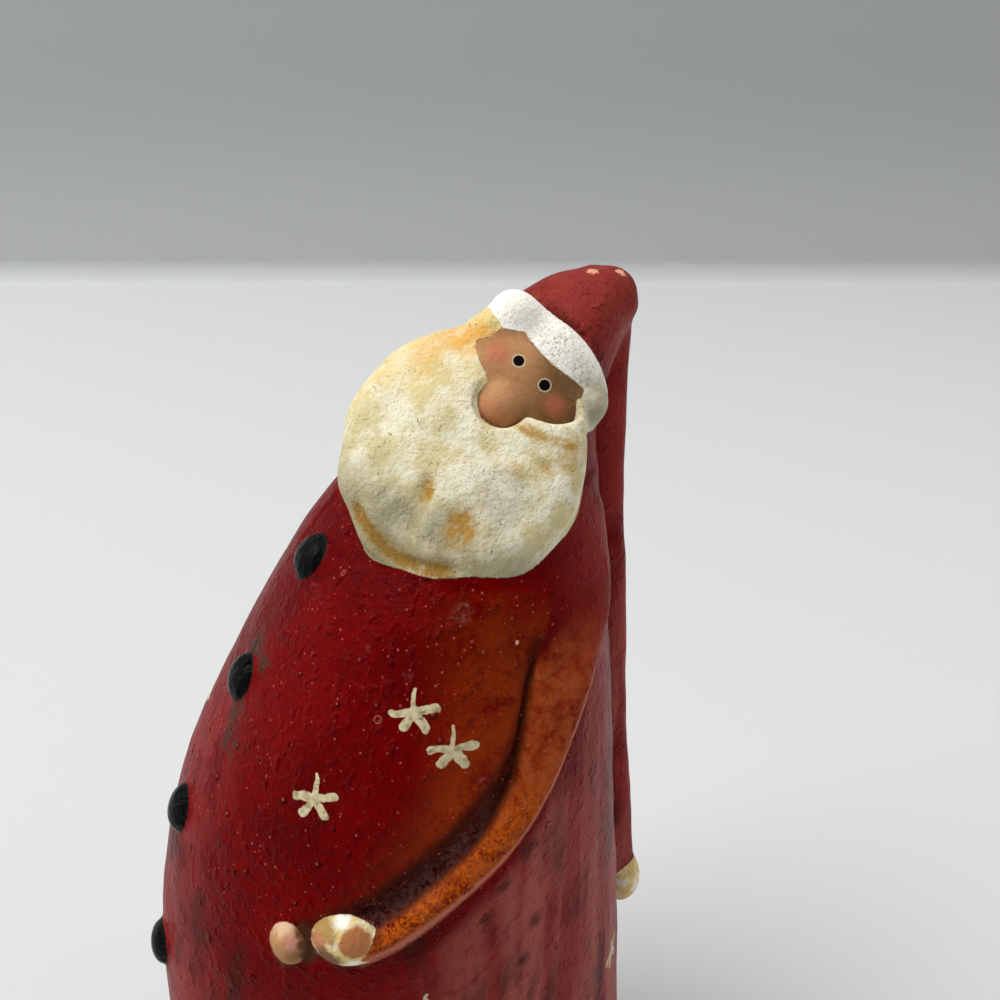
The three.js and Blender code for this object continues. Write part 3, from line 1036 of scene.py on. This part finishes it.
def grooved(g, place, base, fine):
    """The base with a painted highlight along the sleeve's outer edge, and dark paint in the groove by the
    belly.
    """
    along, inner, outer = g.places("sleeve_place")
    # Painted highlight along the sleeve's outer edge.
    edge = g.times(g.step(g.absolute(g.add(outer, 0.2)), 1.5, 0.4), g.step(along, 0.16, 0.34))
    base = g.over(base, SLEEVE_EDGE_HIGHLIGHT, edge, g.step(g.attribute("sleeve"), 2.2, 1.2), 0.85)
    breadth = g.add(1.8, g.times(g.step(along, 0.3, 0.66), 4.4))
    across = g.times(g.step(inner, -1, 0.2), g.step(g.less(inner, breadth), 0.8, -1.6))
    down = g.times(g.step(along, 0.2, 0.24), g.step(g.attribute("sleeve_reach"), 16, 13))
    ragged = g.add(fine, g.times(g.less(g.noise(place, 3, 3, 0.65), 0.5), 0.6))
    groove = g.times(across, down, g.step(ragged, 0.2, 0.5))
    base = g.over(base, GROOVE_BROWN, groove, 0.92)
    dusk = g.times(g.step(inner, 4, 1), g.step(along, 0.5, 0.66), g.step(fine, 0.36, 0.6))
    return g.over(base, DUSK, groove, dusk)


CREAM = colour(206, 192, 146)
CHALK = colour(228, 222, 196)
WHITE = colour(250, 247, 236)
TARNISHED_FUR = colour(150, 142, 108)
YELLOW = colour(226, 200, 130)
OCHRE = colour(176, 130, 50)
YELLOW_OCHRE = colour(224, 168, 78)
DENT_SHADE_GREY = colour(154, 148, 142)
DULL_WASH_AND_SHADE = colour(148, 138, 102)
RIM_OCHRE = colour(146, 108, 46)
SPECK = colour(92, 78, 54)

# Ochre on the beard: place across and up, half sizes, turn and strength.
OCHRE_BLOTCHES = [
    ((2.3, -7.9), (1.7, 3.2), 0.48, 0.95),
    ((10.4, -8.6), (3.8, 4.8), 0.3, 0.9),
    ((14, 7.9), (2.2, 1.3), 0.0, 0.5),
    ((10.9, 4.1), (2.2, 1.7), 0.0, 0.35),
    ((7.1, 10.2), (5.0, 1.5), 0.2, 0.85),
    ((12.6, 12.4), (3.6, 1.3), 0.5, 0.7),
    ((15, 12), (2.5, 5), 0.2, 0.5),
]
AMBER_BLOTCHES = [
    ((-11, 15.5), (7, 4.5), 0.5, 0.9),
    ((-15, 9), (5, 7), 0.4, 0.35),
]
# Grey painted shade in the beard's dents and on its lower right, with the same columns.
GREY_SHADE_BLOTCHES = [
    ((1.9, -15.1), (4.6, 5.4), 0.2, 0.55),
    ((-3.2, -13.2), (1.2, 3.6), -0.2, 0.7),
    ((9, -14), (5, 4), 0.2, 0.35),
    ((12, 0), (7, 6), 0.0, 0.3),
    ((6.5, -18.5), (7, 3), 0.1, 0.5),
]


def tinted(g, base, blotches, tint, across, up, edge):
    """The base with soft-edged blotches of a tint."""
    for centre, radii, turn, strength in blotches:
        blotch = g.least(g.times(g.blotch(across, up, centre, radii, turn), edge), 1)
        base = g.over(base, tint, blotch, strength)
    return base


def beard_paint(g, place):
    """Matt cream with yellow ochre rubbed into the dents, the rim and under the face, grey painted shade in
    the dents, and a lower part darkened partly by a dull wash and partly by painted shade.
    """
    across, up, _ = g.places("beard_place")
    base = g.over(CREAM, CHALK, g.cloudy(place, 0.38, 0.62, 5, 3, 0.65))
    yellowed = g.times(g.step(g.less(up, across), 4, 24), g.cloudy(place, 0.3, 0.65, 7, 3, 0.6))
    base = g.over(base, YELLOW, yellowed, 0.75)
    edge = g.add(0.35, g.times(g.cloudy(place, 0.3, 0.65, 2.6, 3, 0.7), 1.1))
    # Grey painted shade in the dents and on the lower right.
    base = tinted(g, base, GREY_SHADE_BLOTCHES, DENT_SHADE_GREY, across, up, edge)
    # The lower beard darker: partly a dull wash, partly painted shade.
    lower = g.step(g.less(up, g.times(across, 0.3)), -4, -17)
    base = g.over(base, DULL_WASH_AND_SHADE, lower, g.cloudy(place, 0.2, 0.55, 6, 3), 0.85)
    base = tinted(g, base, OCHRE_BLOTCHES, OCHRE, across, up, edge)
    base = tinted(g, base, AMBER_BLOTCHES, YELLOW_OCHRE, across, up, edge)
    base = g.over(base, RIM_OCHRE, g.least(g.times(g.attribute("crescent"), edge), 0.95))
    specks = g.cloudy(place, 0.6, 0.7, 0.5, 2, 0.7)
    return g.over(base, SPECK, specks, g.cloudy(place, 0.4, 0.6, 4, 3, 0.6), 0.75)


PEACH = colour(190, 128, 92)
WORN = colour(178, 116, 74)
DIRT = colour(128, 98, 72)
TARNISH = colour(172, 140, 84)
CUFF_TOP = 126

# Marks on the fur trims. Those on the cuffs are for both sides.
BRIM_SPECKS = [((6, 25, 209), 4), ((14.4, 18.5, 203), 4.5), ((15.5, 21.9, 197.8), 4), ((15, 26, 193), 4)]
BRIM_MARKS = [([((18, 24, 192.5), 8), ((13.5, 16, 198), 2.5)], 0.8, 3, 0.8, 0.9, TARNISHED_FUR)]
CUFF_MARKS = [
    ([((36, -32.7, 116.2), 4)], 1.2, 1.5, 0.6, 1, TARNISH),
    ([((36.2, -33.7, 113.8), 3)], 1.2, 1.5, 0.6, 1, PEACH),
    ([((37.6, -32.9, 111), 3.6)], 0.8, 1.5, 0.5, 1, DIRT),
    # Painted highlight high on the cuff.
    ([((37.2, -29.7, 118), 2.2)], 0.6, 1.5, 0.8, 1, WHITE),
    ([((39.8, -28.4, 114.9), 3.2)], 0.5, 1.5, 0.3, 1, WORN),
]
POMPOM_MARKS = [([((3.1, 47.8, 69), 3.4)], 1.2, 0.9, 0.4, 0.3, OCHRE)]


def fur_paint(g, place, folded, hollow):
    """Chalky white, speckled grey on the brim, yellowed on the cuffs and worn to the casting, with a painted
    highlight on each cuff.
    """
    z = g.split(place)[2]
    mottle = g.noise(place, 3, 3, 0.65)
    base = g.over(WHITE, CREAM, g.step(mottle, 0.45, 0.8), 0.35)
    base = g.marked(place, base, BRIM_MARKS)
    base = g.over(base, YELLOW, g.step(z, CUFF_TOP + 8, CUFF_TOP), g.step(mottle, 0.3, 0.6))
    base = g.marked(folded, base, CUFF_MARKS)
    base = g.marked(place, base, POMPOM_MARKS)
    specks = g.cloudy(place, 0.52, 0.68, 0.6, 2, 0.75)
    base = g.over(base, SPECK, g.patches(place, BRIM_SPECKS, 2), specks, 0.6)
    return g.over(base, BROWN, g.step(hollow, 0.2, 1.0), 0.5)


FLESH = colour(182, 134, 92)
TAN = colour(170, 122, 82)
BRIM_SHADOW_OLIVE = colour(110, 80, 48)
FACE_SHADE = colour(98, 60, 36)
BLUSH = colour(192, 106, 80)
PALE_FLESH = colour(214, 178, 144)
ROSY = colour(206, 142, 124)
HAND_OLIVE = colour(136, 100, 68)
CREASE_BROWN = colour(74, 42, 24)
EYE = colour(14, 11, 10)
EYE_RING = colour(214, 196, 170)
EYE_PLACE = (2.9, 2.6)
EYE_RADIUS = 1.05
BUTTON_BLACK = colour(14, 15, 16)
STAR_CREAM = colour(206, 192, 156)
STAR_GREY = colour(168, 154, 116)

# Marks on each hand, and the soft dirt between it and the cuff.
HAND_MARKS = [
    ([((31.4, -37.8, 114.6), 3.2)], 1, 1.5, 0.8, 1, PALE_FLESH),
    ([((34.6, -37.4, 110.4), 2.6)], 1, 1.5, 0.8, 0.8, HAND_OLIVE),
    ([((33.9, -37.6, 113.2), 1.8)], 2, 0.7, 0.6, 0.8, ROSY),
]
CREASE_DIRT = [((33.2, -35.3, 114.4), 2.2), ((33.8, -35.3, 112.2), 2), ((34.2, -35.2, 110), 2.2)]
CREASE_MARKS = [(CREASE_DIRT, 1, 1.5, 0.6, 0.85, CREASE_BROWN)]


def face_paint(g, place, hollow):
    """Flesh, with blushed cheeks, dot eyes that are rimmed in a paler tone, a painted shadow of the brim over
    the face's right side, and painted shade in its hollows.
    """
    across, up, _ = g.places("face_place")
    side = g.absolute(across)
    base = g.over(FLESH, TAN, g.cloudy(place, 0.4, 0.7, 3, 3, 0.65))
    # Painted shadow of the brim: the face darker towards its right and upper side.
    base = g.over(base, BRIM_SHADOW_OLIVE, g.step(g.add(across, g.times(up, 0.5)), -1, 6), 0.9)
    base = g.over(base, BLUSH, g.blotch(side, up, (6.4, 1.4), (3, 2.8)), 0.6)
    base = g.over(base, BLUSH, g.blotch(side, up, (0, -7), (3.6, 3)), 0.35)
    base = g.over(base, PALE_FLESH, g.cloudy(place, 0.66, 0.72, 0.8, 2, 0.6), 0.22)
    base = g.over(base, FACE_SHADE, g.step(hollow, 0.05, 0.7), 0.75)
    ring = g.blotch(side, up, EYE_PLACE, (EYE_RADIUS * 1.4,) * 2)
    base = g.over(base, EYE_RING, g.step(ring, 0.1, 0.3), 0.6)
    return g.over(base, EYE, g.step(ring, 0.5, 0.62))


# The strokes of a star: turn from upright, length in star radii, half widths in the middle and at the end.
STAR_STROKES = [
    (3, 0.92, 0.13, 0.08),
    (84, 0.88, 0.14, 0.17),
    (-90, 0.88, 0.14, 0.17),
    (146, 0.78, 0.15, 0.22),
    (-143, 0.76, 0.15, 0.2),
]


def star_mask(g, place, name):
    """1 inside the five brush strokes of a star."""
    u, v, near = g.places(name)
    u = g.add(u, g.times(g.less(g.noise(place, 2.6, 2), 0.5), 0.4))
    v = g.add(v, g.times(g.less(g.noise(g.stretched(place, (1, 1, 1), (1, 2, 0)), 2.6, 2), 0.5), 0.4))
    strokes = []
    for turn, length, middle, end in STAR_STROKES:
        c, s = math.cos(math.radians(turn)), math.sin(math.radians(turn))
        along = g.add(g.times(u, s), g.times(v, c))
        beside = g.less(g.times(u, c), g.times(v, s))
        held = g.least(g.most(along, 0), length)
        half = g.add(middle, g.times(held, (end - middle) / length))
        strokes.append(g.less(half, g.length(g.less(along, held), beside)))
    return g.times(g.step(g.most(*strokes), -0.02, 0.02), g.step(near, 0.4, 0.6))


# Spots on the cast cloth: the size of the cells they are strewn in, their radius, the share of cells used.
# The speckles are painted glints with no bump under them; the pimples are bumps whose pink tips are partly
# wear, partly painted highlight.
GLINT_SPECKLES = (1.35, 0.28, 0.85)
PIMPLES = (3.8, 0.75, 0.6)
CASTING_GLOSS = 0.03


def glints_and_bumps(g, place, bare):
    """The painted glint speckles and the casting's larger bumps, 1 in their middles, most of them high up in
    front.
    """
    _, y, z = g.split(place)
    upper = g.add(0.35, g.times(g.step(z, 100, 125), g.step(y, 25, 5), 0.65))
    return [g.times(g.spots(place, *kind), upper, bare) for kind in (GLINT_SPECKLES, PIMPLES)]


def fine_relief(g, place, pimples, pale, bare):
    """The height in millimetres of brush grain, fur ridges, pebbling, bumps and bubbles."""
    grain = g.times(g.noise(place, 0.9, 2, 0.6), g.add(0.16, g.times(pale, 0.16)))
    ridges = g.step(g.absolute(g.less(g.noise(place, 3, 3, 0.65), 0.5)), 0.1, 0)
    pebbles = g.times(g.cloudy(place, 0.5, 0.75, 2.4, 2, 0.6), bare, 0.35)
    bumps = g.add(g.times(pimples, 0.8), g.times(bubble_rings(g, place), 0.25))
    return g.add(grain, g.times(ridges, pale, 0.05), pebbles, bumps)


def painted_casting():
    """The finish of the whole casting, with each paint where its own forms are nearest."""
    g = Graph("painted_casting")
    place = figure_place(g)
    x, y, z = g.split(place)
    folded = g.node("CombineXYZ", {0: g.absolute(x), 1: y, 2: z}).outputs[0]
    hollow = g.attribute("hollow")
    wobble = g.times(g.less(g.noise(place, 1.3, 2), 0.5), 0.5)
    cloth, beard, fur, flesh, black = (
        g.step(g.add(g.attribute(paint), wobble), -0.12, 0.12)
        for paint in ("cloth", "beard", "fur", "skin", "button")
    )
    pale = g.most(beard, fur)
    bare = g.less(1, g.most(pale, flesh))
    glint_specks, pimples = glints_and_bumps(g, place, bare)
    base = cloth_paint(g, place, hollow)
    # Pink on the speckles is painted glint; on the pimple tips it is partly wear, partly painted highlight.
    base = g.over(base, PINK_WEAR_AND_GLINT, g.step(glint_specks, 0.25, 0.8), 0.45)
    base = g.over(base, PINK_WEAR_AND_GLINT, g.step(pimples, 0.75, 1), 0.35)
    star_paint = g.over(STAR_CREAM, STAR_GREY, g.cloudy(place, 0.35, 0.7, 1.2, 2))
    base = g.over(base, star_paint, g.most(star_mask(g, place, "star_0"), star_mask(g, place, "star_1")))
    # Where three paints meet on the head, none of them is clearly nearest, so cream lies under all three.
    head = g.times(g.less(1, cloth), g.step(g.attribute("beard"), -1.5, -0.5))
    base = g.over(base, beard_paint(g, place), g.most(beard, head))
    base = g.over(base, fur_paint(g, place, folded, hollow), fur)
    base = g.over(base, face_paint(g, place, hollow), flesh)
    base = g.marked(folded, base, HAND_MARKS, flesh)
    base = g.marked(folded, base, CREASE_MARKS)
    base = g.over(base, BUTTON_BLACK, black)
    roughness = g.add(0.36, g.times(g.less(g.noise(place, 3, 3, 0.65), 0.5), 0.2), g.times(pale, 0.2))
    roughness = g.less(roughness, g.times(black, 0.16))
    facing = g.bump(fine_relief(g, place, pimples, pale, bare))
    return g.finish({
        "Base Color": base, "Roughness": roughness, "Normal": facing, "Specular IOR Level": CASTING_GLOSS,
    })


FLOOR_WHITE = colour(205, 207, 206)
WALL_GREY = colour(172, 174, 175)
WALL_PAINTED_LIGHT = colour(196, 198, 198)


def backdrop_material():
    """A white floor that turns grey where it rises into the wall, with painted light making the wall paler
    towards the floor.
    """
    g = Graph("backdrop")
    height = g.split(figure_place(g))[2]
    # Painted light: the wall paler towards the floor.
    wall = g.over(WALL_GREY, WALL_PAINTED_LIGHT, g.step(height, 260, 0))
    base = g.over(FLOOR_WHITE, wall, g.step(height, 0, 5))
    return g.finish({"Base Color": base, "Roughness": 0.8})


# Camera, lights and the room


def camera_axes():
    """The camera's right, its up and the way back from what it looks at."""
    turn, pitch = CAMERA_TURN, CAMERA_PITCH
    back = Vector((math.cos(pitch) * math.sin(turn), -math.cos(pitch) * math.cos(turn), math.sin(pitch)))
    right = Vector((math.cos(turn), math.sin(turn), 0))
    return right, back.cross(right), back


def add_camera():
    camera = bpy.data.objects.new("camera", bpy.data.cameras.new("camera"))
    right, up, back = camera_axes()
    turning = Matrix((right, up, back)).transposed().to_4x4()
    place = Vector(CAMERA_AIM) + back * CAMERA_DISTANCE
    camera.matrix_world = Matrix.Translation(place * MM) @ turning
    camera.data.sensor_width = CAMERA_SENSOR
    camera.data.lens = CAMERA_LENS
    camera.data.clip_start = 0.01
    bpy.context.scene.collection.objects.link(camera)
    bpy.context.scene.camera = camera


WALL_DISTANCE = 1030
FLOOR_REACH = 2600
WALL_HEIGHT = 1500
COVE_RADIUS = 25
COVE_STEPS = 16


def add_backdrop():
    """A floor that curves up into a wall behind the figure, square to the camera."""
    right, _, back = camera_axes()
    away = -Vector((back.x, back.y, 0)).normalized()
    profile = [(-FLOOR_REACH, 0.0)]
    for i in range(COVE_STEPS + 1):
        angle = math.pi / 2 * i / COVE_STEPS
        profile.append((
            WALL_DISTANCE - COVE_RADIUS + COVE_RADIUS * math.sin(angle),
            COVE_RADIUS * (1 - math.cos(angle)),
        ))
    profile.append((WALL_DISTANCE, WALL_HEIGHT))
    points = []
    for distance, height in profile:
        for side in (-1, 1):
            point = away * distance + right * (side * FLOOR_REACH)
            points.append(Vector((point.x, point.y, height)) * MM)
    faces = [(2 * i, 2 * i + 1, 2 * i + 3, 2 * i + 2) for i in range(len(profile) - 1)]
    mesh = bpy.data.meshes.new("backdrop")
    mesh.from_pydata(points, [], faces)
    mesh.polygons.foreach_set("use_smooth", np.ones(len(mesh.polygons), bool))
    backdrop = bpy.data.objects.new("backdrop", mesh)
    backdrop.data.materials.append(backdrop_material())
    bpy.context.scene.collection.objects.link(backdrop)


# The world's full and dim strength, and how squarely the dim part lies towards the camera.
WORLD_STRENGTH = 0.98
DIM_STRENGTH = 0.05
DIM_FACING = (0.4, 0.9)
KEY_SIZE = 3200
KEY_POWER = 175


def add_world():
    """Even soft light from all round, but for a dim room on the side that the figure is looked at from."""
    world = bpy.data.worlds.new("studio")
    world.use_nodes = True
    tree = world.node_tree
    way = tree.nodes.new("ShaderNodeTexCoord").outputs["Generated"]
    facing = tree.nodes.new("ShaderNodeVectorMath")
    facing.operation = "DOT_PRODUCT"
    facing.inputs[1].default_value = camera_axes()[2]
    tree.links.new(way, facing.inputs[0])
    level = tree.nodes.new("ShaderNodeMapRange")
    level.interpolation_type = "SMOOTHSTEP"
    for place, value in enumerate((*DIM_FACING, WORLD_STRENGTH, DIM_STRENGTH), 1):
        level.inputs[place].default_value = value
    tree.links.new(facing.outputs["Value"], level.inputs[0])
    background = tree.nodes["Background"]
    background.inputs["Color"].default_value = (1, 1, 1, 1)
    tree.links.new(level.outputs[0], background.inputs["Strength"])
    bpy.context.scene.world = world


def add_key_light():
    """A large soft light, high up on the left of the camera's view."""
    right, _, back = camera_axes()
    place = Vector(CAMERA_AIM) - right * 2100 + back * 500 + Vector((0, 0, 3500))
    light = bpy.data.objects.new("key", bpy.data.lights.new("key", "AREA"))
    light.data.shape = "SQUARE"
    light.data.size = KEY_SIZE * MM
    light.data.energy = KEY_POWER
    light.location = place * MM
    light.rotation_mode = "QUATERNION"
    light.rotation_quaternion = (Vector(CAMERA_AIM) - place).to_track_quat("-Z", "Y")
    bpy.context.scene.collection.objects.link(light)


add_camera()
make_skin()
add_backdrop()
add_world()
add_key_light()
bpy.context.scene.view_settings.view_transform = "Standard"
